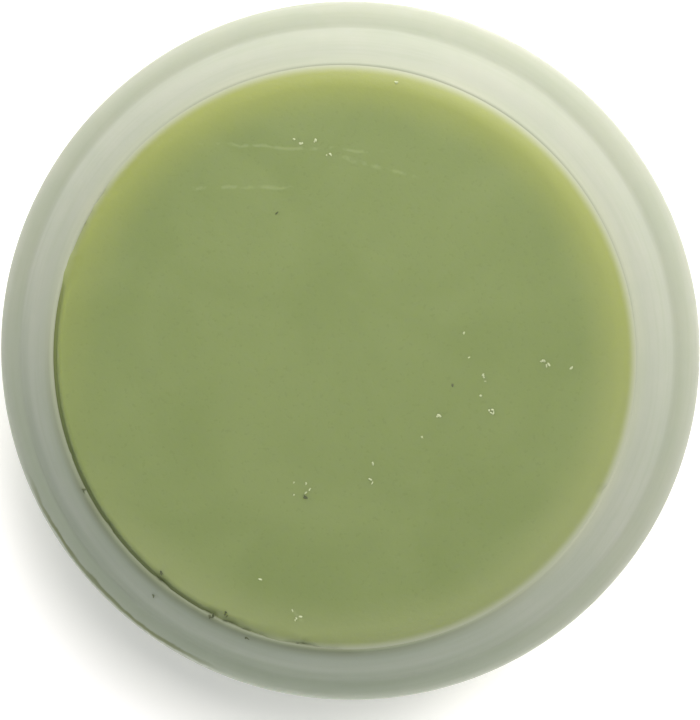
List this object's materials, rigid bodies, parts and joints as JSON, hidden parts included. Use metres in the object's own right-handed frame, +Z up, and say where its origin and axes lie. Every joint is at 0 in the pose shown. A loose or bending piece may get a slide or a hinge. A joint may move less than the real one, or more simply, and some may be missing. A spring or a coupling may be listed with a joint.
{
  "type": "shaving soap puck",
  "caption": "Round olive shaving soap puck that lifts out of a low frosted plastic tub with a belly, a stepped shoulder and a rounded lip.",
  "frame": {"origin": "centre of the foot ring, on the surface that the tub stands on", "axes": "+Z up along the turning axis of the tub and the soap, out of the tub's mouth"},
  "size_m": [0.08, 0.08, 0.0272],
  "materials": {
    "frosted_plastic": "frosted translucent pale green",
    "olive_soap": "smooth waxy olive green"
  },
  "bodies": {
    "tub": {"tub": "frosted_plastic"},
    "soap": {"soap_puck": "olive_soap"}
  },
  "joints": [
    {"name": "soap_lift", "type": "slide", "parent": "tub", "child": "soap", "axis": [0, 0, 1], "range_m": [0, 0.03]}
  ]
}
